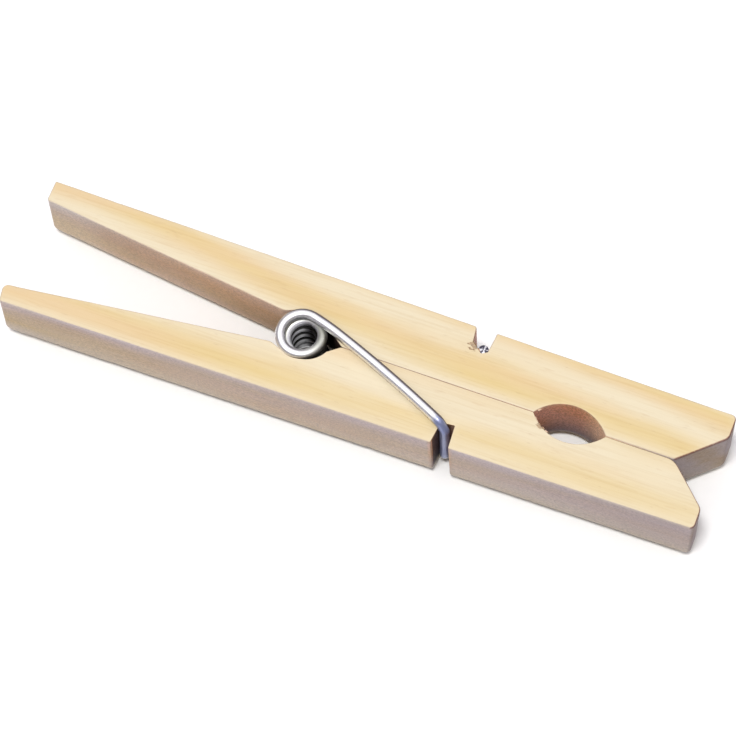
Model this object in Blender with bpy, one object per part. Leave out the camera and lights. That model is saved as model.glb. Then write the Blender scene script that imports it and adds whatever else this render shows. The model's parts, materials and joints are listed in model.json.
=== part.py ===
"""A wooden spring clothespin: two tapered wooden levers and one torsion spring of steel wire.

The clothespin lies on its side. +X runs along it towards the jaws, +Y runs across it towards the
rear lever, and +Z is up, along the axis of the spring's coil. The origin is at the middle of the
whole object's bottom. The coil is the pivot: the rear lever turns about it against the front one.
"""

import math

import bmesh
import bpy

# Driving dimensions in metres.
LENGTH = 0.0825          # tail ends to jaw ends
LEVER_WIDTH = 0.0082     # thickness of the wooden strip, along the coil's axis
TAIL_HALF_BREADTH = 0.0079
JAW_HALF_BREADTH = 0.0069
CLEARANCE = 0.0003       # left wherever two pieces bear on each other

WIRE_RADIUS = 0.00055
COIL_RADIUS = 0.00232    # to the middle of the wire
COIL_FROM_TAIL = 0.0340
COIL_WHOLE_TURNS = 6
ARM_DEPARTURE = math.radians(76)   # where an arm leaves the coil, measured from +X
ARM_EASE_RADIUS = 0.020            # the gentle curve by which an arm leaves the coil
BEND_RADIUS = 0.0011
BAR_FROM_TAIL = 0.05295
BAR_DEPTH = 0.00144                # middle of a bar below the lever's outer face
BAR_SHORT_OF_FACE = 0.0004         # a bar stops this far inside the lever's side face

TAIL_THICKNESS = 0.0023
TAIL_INNER_ROUND = 0.0007
TAIL_OUTER_ROUND = 0.0003
TAIL_END_ROUND = 0.0012            # the tail end's lower corner, seen from the side
SHOULDER_FROM_TAIL = 0.0310
SHOULDER_HALF_GAP = 0.0020
SHOULDER_ROUND = 0.0006

GROOVE_RADIUS = 0.0032
GROOVE_LIP_FROM_TAIL = 0.0387
GROOVE_LIP_DEPTH = 0.0011

LINE_HOLE_FROM_TAIL = 0.0656
LINE_HOLE_HALF_CHORD = 0.0042
LINE_HOLE_DEPTH = 0.0022

CHAMFER_FROM_TAIL = 0.0777
CHAMFER_END_DEPTH = 0.0044
NOSE_ROUND = 0.0008
NOSE_OUTER_ROUND = 0.0005

NOTCH_FROM_TAIL = 0.05202
NOTCH_WIDTH = 0.00225
NOTCH_TAIL_DEPTH = 0.0019
NOTCH_JAW_DEPTH = 0.00295
NOTCH_WALL_LEAN = 0.0001
NOTCH_JAW_LEAN = 0.0004

ARC_STEP = math.radians(12)
COIL_STEPS_PER_TURN = 20
WIRE_SIDES = 8

# Derived heights and places.
BOTTOM_FACE = 2 * WIRE_RADIUS + CLEARANCE
TOP_FACE = BOTTOM_FACE + LEVER_WIDTH
MIDDLE_HEIGHT = BOTTOM_FACE + LEVER_WIDTH / 2
TOP_ARM_HEIGHT = TOP_FACE + CLEARANCE + WIRE_RADIUS
TAIL_X = -LENGTH / 2
COIL_X = TAIL_X + COIL_FROM_TAIL

WOOD_COLOUR = (0.84, 0.71, 0.50, 1.0)
STEEL_COLOUR = (0.74, 0.75, 0.77, 1.0)


def clear_scene():
    """Remove whatever the scene holds."""
    for item in list(bpy.data.objects):
        bpy.data.objects.remove(item, do_unlink=True)


def make_material(name, colour, roughness, metallic):
    """A Principled material."""
    material = bpy.data.materials.new(name)
    material.use_nodes = True
    shader = material.node_tree.nodes["Principled BSDF"]
    shader.inputs["Base Color"].default_value = colour
    shader.inputs["Roughness"].default_value = roughness
    shader.inputs["Metallic"].default_value = metallic
    material.diffuse_color = colour
    return material


def wood_material(name):
    """Pale sanded hardwood without a finish."""
    return make_material(name, WOOD_COLOUR, 0.62, 0.0)


def steel_material(name):
    """Bright zinc-plated spring wire."""
    return make_material(name, STEEL_COLOUR, 0.26, 1.0)


def outer_depth(from_tail):
    """Distance of the levers' outer face from the middle plane, at a distance from the tail."""
    share = from_tail / LENGTH
    return TAIL_HALF_BREADTH + (JAW_HALF_BREADTH - TAIL_HALF_BREADTH) * share


def inner_depth(from_tail):
    """Distance of a tail's inner face from the middle plane."""
    tail_depth = TAIL_HALF_BREADTH - TAIL_THICKNESS
    share = from_tail / SHOULDER_FROM_TAIL
    return tail_depth + (SHOULDER_HALF_GAP - tail_depth) * share


def arc_points(centre, radius, start, end):
    """Points on a circle from one angle to another, both ends included."""
    steps = max(2, math.ceil(abs(end - start) / ARC_STEP))
    angles = [start + (end - start) * step / steps for step in range(steps + 1)]
    return [(centre[0] + radius * math.cos(a), centre[1] + radius * math.sin(a)) for a in angles]


def fillet(before, corner, after, radius):
    """The corner of an outline, replaced by an arc of the given radius."""
    if radius == 0:
        return [corner]
    to_before = math.atan2(before[1] - corner[1], before[0] - corner[0])
    to_after = math.atan2(after[1] - corner[1], after[0] - corner[0])
    turn = math.remainder(to_after - to_before, math.tau)
    half = abs(turn) / 2
    middle = to_before + turn / 2
    reach = radius / math.sin(half)
    centre = (corner[0] + reach * math.cos(middle), corner[1] + reach * math.sin(middle))
    side = math.copysign(math.pi / 2, turn)
    sweep = math.copysign(math.pi - 2 * half, turn)
    start = to_before - side
    return arc_points(centre, radius, start, start - sweep)


def rounded_outline(corners):
    """An outline of (x, depth, radius) corners, with each corner rounded by its radius."""
    points = []
    for index, (x, depth, radius) in enumerate(corners):
        before = corners[index - 1][:2]
        after = corners[(index + 1) % len(corners)][:2]
        points += fillet(before, (x, depth), after, radius)
    return points


def groove_corners():
    """The half-round groove that the coil lies in, from the shoulder to its lip at the jaws."""
    radius = GROOVE_RADIUS
    start = math.radians(122)
    end = math.asin(GROOVE_LIP_DEPTH / radius)
    arc = arc_points((COIL_FROM_TAIL, 0.0), radius, start, end)
    return [(x, depth, 0) for x, depth in arc] + [(GROOVE_LIP_FROM_TAIL, CLEARANCE / 2, 0)]


def line_hole_corners():
    """The shallow arc of the clothes-line hole."""
    half_chord, depth = LINE_HOLE_HALF_CHORD, LINE_HOLE_DEPTH
    radius = (half_chord ** 2 + depth ** 2) / (2 * depth)
    half_angle = math.asin(half_chord / radius)
    centre = (LINE_HOLE_FROM_TAIL, depth - radius)
    quarter = math.pi / 2
    arc = arc_points(centre, radius, quarter + half_angle, quarter - half_angle)
    return [(x, max(y, CLEARANCE / 2), 0) for x, y in arc]


def notch_corners():
    """The outer face's notch for the wire's bar, from its jaw side to its tail side."""
    tail_x, jaw_x = NOTCH_FROM_TAIL, NOTCH_FROM_TAIL + NOTCH_WIDTH
    return [
        (jaw_x, outer_depth(jaw_x), 0),
        (jaw_x - NOTCH_JAW_LEAN, outer_depth(jaw_x) - NOTCH_JAW_DEPTH, 0.0002),
        (tail_x + NOTCH_WALL_LEAN, outer_depth(tail_x) - NOTCH_TAIL_DEPTH, 0.0002),
        (tail_x, outer_depth(tail_x), 0),
    ]


def lever_outline():
    """A lever's outline: distance from the tail end, and depth from the middle plane."""
    tail = [
        (0.0, outer_depth(0.0), TAIL_OUTER_ROUND),
        (0.0, inner_depth(0.0), TAIL_INNER_ROUND),
        (SHOULDER_FROM_TAIL, inner_depth(SHOULDER_FROM_TAIL), SHOULDER_ROUND),
    ]
    nose = [
        (CHAMFER_FROM_TAIL, CLEARANCE / 2, NOSE_ROUND),
        (LENGTH, CHAMFER_END_DEPTH, NOSE_ROUND),
        (LENGTH, outer_depth(LENGTH), NOSE_OUTER_ROUND),
    ]
    return rounded_outline(tail + groove_corners() + line_hole_corners() + nose + notch_corners())


def extruded_object(name, outline, place, height):
    """A closed prism: an outline laid out by place(), extruded upwards by height."""
    mesh = bpy.data.meshes.new(name)
    shape = bmesh.new()
    base = shape.faces.new([shape.verts.new(place(point)) for point in outline])
    wall = bmesh.ops.extrude_face_region(shape, geom=[base])
    raised = [part for part in wall["geom"] if isinstance(part, bmesh.types.BMVert)]
    bmesh.ops.translate(shape, vec=height, verts=raised)
    bmesh.ops.recalc_face_normals(shape, faces=shape.faces)
    shape.to_mesh(mesh)
    shape.free()
    item = bpy.data.objects.new(name, mesh)
    bpy.context.collection.objects.link(item)
    return item


def tail_corner_cutter(name, side):
    """What is cut away to round the lower corner of a lever's tail end."""
    radius = TAIL_END_ROUND
    round_part = arc_points((radius, radius), radius, -math.pi / 2, -math.pi)
    outline = round_part + [(-radius, radius), (-radius, -radius), (radius, -radius)]
    reach = side * 2 * TAIL_HALF_BREADTH

    def place(point):
        return (TAIL_X - COIL_X + point[0], 0.0, point[1] - LEVER_WIDTH / 2)

    cutter = extruded_object(name, outline, place, (0.0, reach, 0.0))
    cutter.hide_render = True
    cutter.display_type = "WIRE"
    return cutter


def make_lever(name, side, material):
    """One wooden lever, with its origin on the coil's axis; side is +1 for the rear one."""
    def place(point):
        return (TAIL_X + point[0] - COIL_X, side * point[1], -LEVER_WIDTH / 2)

    lever = extruded_object(name, lever_outline(), place, (0.0, 0.0, LEVER_WIDTH))
    lever.data.materials.append(material)
    cutter = tail_corner_cutter(name + "_corner", side)
    rounding = lever.modifiers.new("tail_end_corner", "BOOLEAN")
    rounding.operation = "DIFFERENCE"
    rounding.object = cutter
    for item in (lever, cutter):
        item.location = (COIL_X, 0.0, MIDDLE_HEIGHT)
    return lever


def make_wire(name, points, material):
    """A piece of round wire along the given points, with its origin on the coil's axis."""
    curve = bpy.data.curves.new(name, "CURVE")
    curve.dimensions = "3D"
    curve.bevel_depth = WIRE_RADIUS
    curve.bevel_resolution = WIRE_SIDES // 4
    curve.use_fill_caps = True
    spline = curve.splines.new("POLY")
    spline.points.add(len(points) - 1)
    for target, point in zip(spline.points, points):
        target.co = (*point, 1.0)
    spline.use_smooth = True
    curve.materials.append(material)
    wire = bpy.data.objects.new(name, curve)
    wire.location = (COIL_X, 0.0, MIDDLE_HEIGHT)
    bpy.context.collection.objects.link(wire)
    return wire


def coil_points():
    """The helix, from the bottom arm's end of it up to the top arm's, turning clockwise."""
    gap_angle = CLEARANCE / 2 / COIL_RADIUS
    sweep = math.tau * COIL_WHOLE_TURNS + math.tau - 2 * ARM_DEPARTURE
    height = TOP_ARM_HEIGHT - MIDDLE_HEIGHT
    steps = round(COIL_STEPS_PER_TURN * sweep / math.tau)
    points = []
    for step in range(steps + 1):
        turned = gap_angle + (sweep - 2 * gap_angle) * step / steps
        angle = -ARM_DEPARTURE - turned
        rise = -height + 2 * height * turned / sweep
        points.append((COIL_RADIUS * math.cos(angle), COIL_RADIUS * math.sin(angle), rise))
    return points


def arm_heading(bar):
    """The direction of the arm's straight part, so that the part ends above the bar."""
    heading = ARM_DEPARTURE - math.pi / 2
    for _ in range(20):
        start = ease_end(heading)
        heading = math.atan2(bar[1] - start[1], bar[0] - start[0])
    return heading


def ease_end(heading):
    """Where the gentle curve ends and the arm's straight part begins."""
    leave = ARM_DEPARTURE
    reach = COIL_RADIUS - ARM_EASE_RADIUS
    x = reach * math.cos(leave) - ARM_EASE_RADIUS * math.sin(heading)
    y = reach * math.sin(leave) + ARM_EASE_RADIUS * math.cos(heading)
    return (x, y)


def arm_points():
    """The top arm: off the coil, over the front lever, and down across its outer notch."""
    height = TOP_ARM_HEIGHT - MIDDLE_HEIGHT
    bar = (TAIL_X + BAR_FROM_TAIL - COIL_X, BAR_DEPTH - outer_depth(BAR_FROM_TAIL))
    heading = arm_heading(bar)
    along = (math.cos(heading), math.sin(heading))
    centre = (
        (COIL_RADIUS - ARM_EASE_RADIUS) * math.cos(ARM_DEPARTURE),
        (COIL_RADIUS - ARM_EASE_RADIUS) * math.sin(ARM_DEPARTURE),
    )
    leave = ARM_DEPARTURE - CLEARANCE / 2 / ARM_EASE_RADIUS
    ease = arc_points(centre, ARM_EASE_RADIUS, leave, heading + math.pi / 2)
    points = [(x, y, height) for x, y in ease]
    bend_steps = 6
    for step in range(bend_steps + 1):
        angle = math.pi / 2 * step / bend_steps
        short = BEND_RADIUS * (1 - math.sin(angle))
        drop = BEND_RADIUS * (1 - math.cos(angle))
        points.append((bar[0] - along[0] * short, bar[1] - along[1] * short, height - drop))
    points.append((bar[0], bar[1], BAR_SHORT_OF_FACE - LEVER_WIDTH / 2))
    return points


def turned_over(points):
    """The same points, turned half a turn about the clothespin's long axis."""
    return [(x, -y, -z) for x, y, z in points]


def main():
    clear_scene()
    make_lever("front_lever", -1, wood_material("front_wood"))
    make_lever("rear_lever", 1, wood_material("rear_wood"))
    make_wire("spring_coil", coil_points(), steel_material("coil_steel"))
    make_wire("spring_front_arm", arm_points(), steel_material("front_arm_steel"))
    make_wire("spring_rear_arm", turned_over(arm_points()), steel_material("rear_arm_steel"))


main()
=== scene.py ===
"""The clothespin's looks: two bare wooden levers and one zinc-plated wire spring.

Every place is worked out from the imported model's boxes and its hinge. Lengths are in metres, +X runs
towards the jaws, +Y towards the rear lever and +Z along the axis of the coil.
"""

import json
import math

import bmesh
import bpy
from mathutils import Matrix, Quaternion, Vector, noise


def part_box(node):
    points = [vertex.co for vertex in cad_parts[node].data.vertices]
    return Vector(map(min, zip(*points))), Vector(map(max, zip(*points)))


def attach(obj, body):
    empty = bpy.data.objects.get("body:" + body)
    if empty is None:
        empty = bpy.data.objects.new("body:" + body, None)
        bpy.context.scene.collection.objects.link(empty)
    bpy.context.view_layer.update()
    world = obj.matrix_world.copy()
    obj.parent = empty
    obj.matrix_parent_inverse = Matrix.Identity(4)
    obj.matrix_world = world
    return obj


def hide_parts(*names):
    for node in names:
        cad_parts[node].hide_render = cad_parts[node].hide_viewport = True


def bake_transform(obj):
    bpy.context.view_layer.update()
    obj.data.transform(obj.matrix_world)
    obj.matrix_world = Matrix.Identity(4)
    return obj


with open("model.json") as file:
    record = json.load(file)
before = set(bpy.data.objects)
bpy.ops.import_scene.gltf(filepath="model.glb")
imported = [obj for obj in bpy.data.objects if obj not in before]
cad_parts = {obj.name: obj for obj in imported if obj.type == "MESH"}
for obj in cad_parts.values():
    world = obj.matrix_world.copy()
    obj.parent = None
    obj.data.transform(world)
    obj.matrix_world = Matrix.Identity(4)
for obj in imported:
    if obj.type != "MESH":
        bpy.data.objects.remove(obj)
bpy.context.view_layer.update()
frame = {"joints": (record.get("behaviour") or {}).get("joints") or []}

MM = 1000.0

# Places and overall sizes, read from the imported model.
LEVER_LOW, LEVER_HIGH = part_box("rear_lever")
TAIL_X = LEVER_LOW.x
LENGTH = LEVER_HIGH.x - LEVER_LOW.x
BOTTOM_FACE = LEVER_LOW.z
TOP_FACE = LEVER_HIGH.z
TAIL_HALF_BREADTH = LEVER_HIGH.y
HINGE = Vector(frame["joints"][0]["pos_m"])
COIL_FROM_TAIL = HINGE.x - TAIL_X

# Sizes that the model's boxes don't give.
JAW_HALF_BREADTH = 0.0069
TAIL_THICKNESS = 0.0023
TAIL_ROUND = 0.0009
NOSE_LOWER_ROUND = 0.0004
SHOULDER_FROM_TAIL = 0.0310
SHOULDER_HALF_GAP = 0.0020
SHOULDER_ROUND = 0.0014
GROOVE_RADIUS = 0.00302
GROOVE_END_RADIUS = 0.0035
GROOVE_START = math.radians(122)
GROOVE_WIDENS_FROM = math.radians(72)
GROOVE_LIP_FROM_TAIL = 0.0387
GROOVE_LIP_DEPTH = 0.0011
GROOVE_LIP_ROUND = 0.0006
# How far past the groove's lip its painted black shade fades out.
GROOVE_SHADE_REACH = 0.0010
LINE_HOLE_FROM_TAIL = 0.0656
LINE_HOLE_HALF_CHORD = 0.0042
LINE_HOLE_DEPTH = 0.0022
CHAMFER_FROM_TAIL = 0.0777
CHAMFER_END_DEPTH = 0.0044
CHAMFER_END_ROUND = 0.0011
NOSE_OUTER_ROUND = 0.0006
NOTCH_MARGIN = 0.0005
HALF_CONTACT_GAP = 0.00002
TAIL_LEAN = 0.00060
TAIL_LEAN_LEVEL = 0.2
TAIL_LEAN_REACH = 0.010
INNER_LEAN_MARGIN = 0.0005

# How much of a cut a surface is: none, a trace, a plain brown cut, or a cut painted black with shade.
NO_CUT = 0.0
FAINT_CUT = 0.3
PLAIN_CUT = 1.0
SHADED_BLACK_CUT = 2.0

# The two levers were sawn alike, but not quite. Of each lever:
# "notch": corners from the jaw side, as distance from the tail, depth from the outer face, rounding and
#   how much of a cut it is, from none to a cut painted black with shade;
# "tail_rounds", "mouth_round": rounding of the tail end's outer and inner corner, and of the nose's corner;
# "tail_long", "tail_thin": how far the tail's inner corner reaches out, and how much thinner it is;
# "nose_short": how far the nose falls short;
# "outset": how much further out the outer face is;
# "inner_lean": how far the underside's edge of the tail's inner face is set back;
# "splinters": torn fibres, as distance from the tail, depth, height, heading in degrees and length.
FRONT_LEVER = {
    "side": -1,
    "notch": (
        (0.05406, 0.0, 0.00018, 0.3),
        (0.05386, 0.00275, 0.0001, 1.6),
        (0.05262, 0.00262, 0.0003, 2.0),
        (0.05220, 0.00180, 0.0001, 2.0),
        (0.05205, 0.00045, 0.0, 1.9),
        (0.05200, 0.0, 0.0002, 0.4),
    ),
    "tail_rounds": (0.0003, 0.0007),
    "mouth_round": 0.0019,
    "tail_long": 0.0004,
    "tail_thin": 0.00017,
    "nose_short": 0.0003,
    "outset": 0.0,
    "inner_lean": 0.0,
    "splinters": (
        (0.06180, 0.00046, 0.00942, 49, 0.0005),
        (0.06210, 0.00078, 0.00940, 45, 0.0006),
        (0.06245, 0.00106, 0.00942, 38, 0.0006),
        (0.06285, 0.00134, 0.00945, 30, 0.0005),
        (0.06330, 0.00158, 0.00940, 24, 0.0005),
    ),
    "seed": 3.1,
}
REAR_LEVER = {
    "side": 1,
    "notch": (
        (0.05444, 0.0, 0.0002, 0.6),
        (0.05422, 0.00250, 0.0002, 1.0),
        (0.05356, 0.00290, 0.0002, 1.3),
        (0.05224, 0.00185, 0.00015, 1.4),
        (0.05202, 0.0, 0.0003, 0.9),
    ),
    "tail_rounds": (0.00015, 0.00035),
    "mouth_round": 0.0008,
    "tail_long": 0.0,
    "tail_thin": 0.0,
    "nose_short": 0.0,
    "outset": 0.00024,
    "inner_lean": 0.00014,
    "splinters": (
        (0.05222, 0.00573, 0.00948, -60, 0.0006),
        (0.05240, 0.00556, 0.00945, -48, 0.0006),
        (0.05268, 0.00535, 0.00947, -40, 0.0006),
        (0.05305, 0.00506, 0.00945, -35, 0.0005),
        (0.06180, 0.00040, 0.00940, 46, 0.0006),
    ),
    "seed": 8.7,
}

WIRE_RADIUS = 0.00057
COIL_RADIUS = 0.00222
COIL_INNER_RADIUS = 0.00196
COIL_BULGE = 0.00030
COIL_BULGE_TURNS = 0.78
COIL_TIGHTENS_OVER = 0.55
COIL_WHOLE_TURNS = 6
ARM_DEPARTURE = math.radians(77)
ARM_EASE_RADIUS = 0.0296
ARM_EASE_HEADING = math.radians(-20)
ARM_BOW_RADIUS = 0.160
ARM_GAP = 0.00003
BEND_RADIUS = 0.00066
BEND_ROOM = 1.1
WORN_END = ((0.00002, 0.94), (0.00004, 0.80), (0.00006, 0.55))

# Where each arm bends down: distance from the tail, then the corners of its bar as distance from the
# tail, depth from the middle plane and height, all for an arm on the top face.
FRONT_ARM = (0.05212, ((0.05292, 0.00521, 0.0091), (0.05281, 0.00530, 0.0019)))
REAR_ARM = (0.05310, ((0.05335, 0.00530, 0.0092), (0.05365, 0.00520, 0.0017)))

# How far the levers' edges are rounded over, and how that varies: more along the jaws' mouth, less
# where the levers meet and round the cuts.
EDGE_SOFTNESS = 0.00016
SOFTNESS_VARIES = 0.55
SOFTNESS_PATCH = 0.004
MOUTH_SOFTNESS = 1.5
SHARP_SOFTNESS = 0.45
SHARP_FROM_CUT = 0.9
CONTACT_EDGE_DEPTH = 0.0004

# The levers' slight waves, as height and width, and the nicks in their long edges.
WAVES = ((0.000016, 0.006), (0.000006, 0.0012))
NICK_COUNT = 16
NICK_REACH = 0.0007
NICK_DEPTH = 0.00013
NICK_JITTER = 0.45

# The splinters at each tear, and a single one's shape: its sections' sizes from root to point, its
# half width and thickness, and how much it curls up.
SPLINTERS_PER_TEAR = 4
SPLINTER_SCATTER = 0.00012
SPLINTER_BELOW_TOP = 0.00009
SPLINTER_FAN = 25
SPLINTER_SECTIONS = (1.0, 0.85, 0.55, 0.12)
SPLINTER_HALF_WIDTH = 0.00007
SPLINTER_HALF_THICKNESS = 0.00005
SPLINTER_CURL = 0.05
SPLINTER_CUT = 0.45

# Fineness of the meshes. The last stretch of the tail is finer, because its lower end is rounded: its
# extra cuts are counted in steps from the tail's end.
ARC_STEP = math.radians(7)
GROOVE_STEPS = 24
OUTLINE_STEP = 0.0006
TAIL_END_REACH = 0.0012
TAIL_END_STEP = 0.00012
TAIL_END_CUTS = range(-3, 10)
FLAT_FACE_CELL = 0.0011
FLAT_FACE_FACING = 0.999
MERGE_DISTANCE = 1e-7
WALL_LAYERS = 9
RIM_STEPS = 4
SOFTNESS_SMOOTHINGS = 3
WIRE_SIDES = 24
COIL_STEPS_PER_TURN = 72
ARM_EASE_STEPS = 12
ARM_BOW_STEPS = 30
BEND_STEPS = 12
BAR_STEPS = 24
LEVER_SHARP_ANGLE = math.radians(50)
WIRE_SHARP_ANGLE = math.radians(60)

# Which vertices count as lying on a flat face or on a wall when the levers are marked, and how far
# the mark of an edge reaches.
FLAT_FACE_MARGIN = 0.0002
WALL_MARGIN = 0.00003
EDGE_MARK_REACH = 0.00045

# Noise is read between its lattice points, where it isn't zero.
KEY_SPACING = 0.37
NICK_SPACING = 0.7


# ---------------- shared

def add_object(name, data):
    """A new object in the scene."""
    item = bpy.data.objects.new(name, data)
    bpy.context.collection.objects.link(item)
    return item


def finished_mesh(name, shape, material):
    """The shape as a mesh of one material."""
    mesh = bpy.data.meshes.new(name)
    shape.to_mesh(mesh)
    shape.free()
    mesh.materials.append(material)
    return mesh


def join_rings(shape, rings):
    """Walls between closed rings of vertices, and a face over each end, which it returns."""
    for lower, upper in zip(rings, rings[1:]):
        for i in range(len(lower)):
            shape.faces.new((lower[i - 1], lower[i], upper[i], upper[i - 1]))
    return [shape.faces.new(rings[0]), shape.faces.new(rings[-1])]


# ---------------- outlines

def outer_depth(from_tail):
    """Distance of the levers' outer face from the middle plane."""
    return TAIL_HALF_BREADTH + (JAW_HALF_BREADTH - TAIL_HALF_BREADTH) * from_tail / LENGTH


def inner_depth(from_tail):
    """Distance of a tail's inner face from the middle plane."""
    tail_depth = TAIL_HALF_BREADTH - TAIL_THICKNESS
    return tail_depth + (SHOULDER_HALF_GAP - tail_depth) * from_tail / SHOULDER_FROM_TAIL


def arc_points(centre, radius, start, end):
    """Points on a circle from one angle to another, both ends included."""
    steps = max(3, math.ceil(abs(end - start) / ARC_STEP))
    angles = [start + (end - start) * step / steps for step in range(steps + 1)]
    return [(centre[0] + radius * math.cos(a), centre[1] + radius * math.sin(a)) for a in angles]


def fillet(before, corner, after, radius):
    """The corner of an outline, replaced by an arc of the given radius."""
    if radius == 0:
        return [corner]
    to_before = math.atan2(before[1] - corner[1], before[0] - corner[0])
    to_after = math.atan2(after[1] - corner[1], after[0] - corner[0])
    turn = math.remainder(to_after - to_before, math.tau)
    half = abs(turn) / 2
    middle = to_before + turn / 2
    reach = radius / math.sin(half)
    centre = (corner[0] + reach * math.cos(middle), corner[1] + reach * math.sin(middle))
    start = to_before - math.copysign(math.pi / 2, turn)
    return arc_points(centre, radius, start, start - math.copysign(math.pi - 2 * half, turn))


def groove_corners():
    """The groove round the coil: close to it in front, wider towards its lip on the jaws' side."""
    end = math.asin(GROOVE_LIP_DEPTH / GROOVE_END_RADIUS)
    corners = []
    for step in range(GROOVE_STEPS + 1):
        angle = GROOVE_START + (end - GROOVE_START) * step / GROOVE_STEPS
        widening = max(0.0, (GROOVE_WIDENS_FROM - angle) / (GROOVE_WIDENS_FROM - end))
        radius = GROOVE_RADIUS + (GROOVE_END_RADIUS - GROOVE_RADIUS) * widening
        place = (COIL_FROM_TAIL + radius * math.cos(angle), radius * math.sin(angle))
        corners.append((*place, 0, SHADED_BLACK_CUT))
    # The groove's wall, set above, and its lip are painted black with shade; past the lip it fades to a
    # trace of a cut.
    lip = (GROOVE_LIP_FROM_TAIL, HALF_CONTACT_GAP, GROOVE_LIP_ROUND, SHADED_BLACK_CUT)
    past_lip = (GROOVE_LIP_FROM_TAIL + GROOVE_SHADE_REACH, HALF_CONTACT_GAP, 0, FAINT_CUT)
    return corners + [lip, past_lip]


def line_hole_corners():
    """The shallow arc that is this lever's half of the clothes-line hole."""
    half_chord, depth = LINE_HOLE_HALF_CHORD, LINE_HOLE_DEPTH
    radius = (half_chord ** 2 + depth ** 2) / (2 * depth)
    half_angle = math.asin(half_chord / radius)
    centre = (LINE_HOLE_FROM_TAIL, depth - radius)
    arc = arc_points(centre, radius, math.pi / 2 + half_angle, math.pi / 2 - half_angle)
    return [(x, max(y, HALF_CONTACT_GAP), 0, PLAIN_CUT) for x, y in arc]


def lever_corners(sort):
    """A lever's corners: distance from the tail, depth, rounding and how much of a cut it is."""
    outset, thin, end = sort["outset"], sort["tail_thin"], LENGTH - sort["nose_short"]
    outer_round, inner_round = sort["tail_rounds"]
    tail = [
        (0.0, outer_depth(0.0) + outset, outer_round, NO_CUT),
        (-sort["tail_long"], inner_depth(0.0) + thin, inner_round, NO_CUT),
        (TAIL_END_REACH, inner_depth(TAIL_END_REACH) + thin, 0, NO_CUT),
        (SHOULDER_FROM_TAIL, inner_depth(SHOULDER_FROM_TAIL), SHOULDER_ROUND, NO_CUT),
    ]
    nose = [
        (CHAMFER_FROM_TAIL, HALF_CONTACT_GAP, sort["mouth_round"], NO_CUT),
        (end, CHAMFER_END_DEPTH, CHAMFER_END_ROUND, NO_CUT),
        (end, outer_depth(LENGTH) + outset, NOSE_OUTER_ROUND, NO_CUT),
    ]
    notch = [
        (x, outer_depth(x) + outset - depth, radius, cut) for x, depth, radius, cut in sort["notch"]
    ]
    jaw_side, tail_side = notch[0][0] + NOTCH_MARGIN, notch[-1][0] - NOTCH_MARGIN
    before, after, near_tail = (
        [(x, outer_depth(x) + outset, 0, NO_CUT)] for x in (jaw_side, tail_side, TAIL_END_REACH)
    )
    inside = tail + groove_corners() + line_hole_corners()
    return inside + nose + before + notch + after + near_tail


def lever_outline(sort):
    """The corners rounded and joined by short steps, as (x, depth, cut) points."""
    corners = lever_corners(sort)
    rounded = []
    for index, (x, depth, radius, cut) in enumerate(corners):
        before = corners[index - 1][:2]
        after = corners[(index + 1) % len(corners)][:2]
        rounded += [(px, py, cut) for px, py in fillet(before, (x, depth), after, radius)]
    outline = []
    for start, end in zip(rounded, rounded[1:] + rounded[:1]):
        at_tail_end = max(start[0], end[0]) <= TAIL_END_REACH
        size = TAIL_END_STEP if at_tail_end else OUTLINE_STEP
        steps = max(1, round(math.dist(start[:2], end[:2]) / size))
        for step in range(steps):
            share = step / steps
            outline.append(tuple(a + (b - a) * share for a, b in zip(start, end)))
    return outline


# ---------------- levers

def wander(place, size, seed=0.0):
    """Smooth noise between about -1 and 1, with features of the given size."""
    return noise.noise(Vector(place) / size + Vector((seed, seed * 0.37, -seed)))


def inward_normals(points):
    """For each point of a closed outline, the direction and stretch of an inward offset."""
    count = len(points)
    area = sum(
        points[i - 1].x * points[i].y - points[i].x * points[i - 1].y for i in range(count)
    )
    turn = math.copysign(1.0, area)
    normals = []
    for i, point in enumerate(points):
        first = (point - points[i - 1]).normalized()
        second = (points[(i + 1) % count] - point).normalized()
        mean = Vector((-first.y - second.y, first.x + second.x)).normalized() * turn
        opening = max(0.5, abs(mean.dot(Vector((-first.y, first.x)))))
        normals.append(mean / opening)
    return normals


def slant_reach(sort, depth):
    """How far the slanting end of the tail reaches out at this depth."""
    outer = outer_depth(0.0) + sort["outset"]
    inner = inner_depth(0.0) + sort["tail_thin"]
    share = (outer - depth) / (outer - inner)
    return sort["tail_long"] * min(1.0, max(0.0, share))


def lower_round(from_tail, reach_out):
    """How far the lever's underside is rounded up, near its tail end and its nose."""
    for distance, radius in (
        (from_tail + reach_out, TAIL_ROUND),
        (LENGTH - from_tail, NOSE_LOWER_ROUND),
    ):
        short = radius - distance
        if short > 0:
            return radius - math.sqrt(max(0.0, radius ** 2 - short ** 2))
    return 0.0


def ring_levels(softness):
    """Inset and height of each ring from the underside's edge, over the wall, to the top edge."""
    quarter = [math.pi / 2 * step / RIM_STEPS for step in range(RIM_STEPS + 1)]
    rim = [(softness * (1 - math.sin(a)), softness * (1 - math.cos(a))) for a in quarter]
    height = TOP_FACE - BOTTOM_FACE
    wall = height - 2 * softness
    middle = [(0.0, softness + wall * (k + 1) / (WALL_LAYERS + 1)) for k in range(WALL_LAYERS)]
    top = [(inset, height - rise) for inset, rise in reversed(rim)]
    return rim + middle + top


def edge_softness(place, depth, cut, seed):
    """How far the edge is rounded over at a point of the outline."""
    softness = EDGE_SOFTNESS * (1 + SOFTNESS_VARIES * wander((*place, 0), SOFTNESS_PATCH, seed))
    in_contact = depth < CONTACT_EDGE_DEPTH
    if in_contact and place.x - TAIL_X > LINE_HOLE_FROM_TAIL:
        return MOUTH_SOFTNESS * softness
    if in_contact or cut > SHARP_FROM_CUT:
        return SHARP_SOFTNESS * softness
    return softness


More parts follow.
